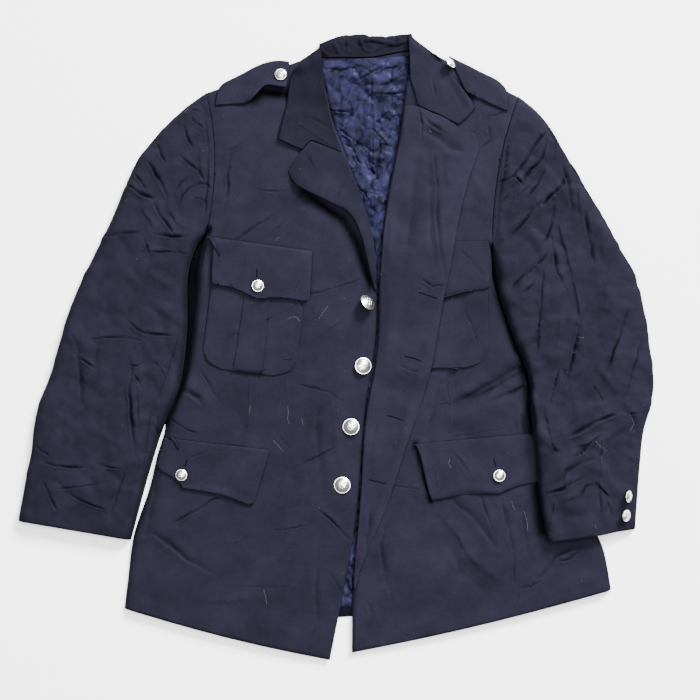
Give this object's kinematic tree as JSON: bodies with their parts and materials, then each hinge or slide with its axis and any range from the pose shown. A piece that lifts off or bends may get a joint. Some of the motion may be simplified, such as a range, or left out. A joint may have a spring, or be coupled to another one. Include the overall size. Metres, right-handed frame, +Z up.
{
  "type": "fire service dress jacket",
  "caption": "Single-breasted navy wool uniform jacket laid flat and open, with notched lapels, shoulder straps, flapped pockets and domed metal buttons.",
  "frame": {"origin": "middle of the jacket's outline seen from above, on the surface it lies on", "axes": "+Z up from the surface, +Y towards the collar, +X towards the wearer's left sleeve"},
  "size_m": [0.863, 0.85, 0.0394],
  "materials": {
    "wool": "navy wool serge, matt with a soft nap",
    "satin_lining": "blue satin lining, crumpled",
    "nickel_button": "nickel plated, domed and slightly dulled"
  },
  "bodies": {
    "root": {"back": "wool", "lining": "satin_lining", "front_right": "wool", "front_left": "wool", "facing_left": "wool", "lapel_right": "wool", "collar_right": "wool", "collar_left": "wool", "collar_back": "wool", "topsleeve_right": "wool", "undersleeve_right": "wool", "topsleeve_left": "wool", "undersleeve_left": "wool", "pocket_breast_right": "wool", "pocket_breast_left": "wool", "flap_breast_right": "wool", "flap_breast_left": "wool", "flap_waist_right": "wool", "flap_waist_left": "wool", "strap_right": "wool", "strap_left": "wool", "button_front_1": "nickel_button", "button_front_2": "nickel_button", "button_front_3": "nickel_button", "button_front_4": "nickel_button", "button_breast_pocket_right": "nickel_button", "button_waist_pocket_right": "nickel_button", "button_waist_pocket_left": "nickel_button", "button_strap_right": "nickel_button", "button_strap_left": "nickel_button", "button_cuff_left_1": "nickel_button", "button_cuff_left_2": "nickel_button"}
  },
  "joints": []
}
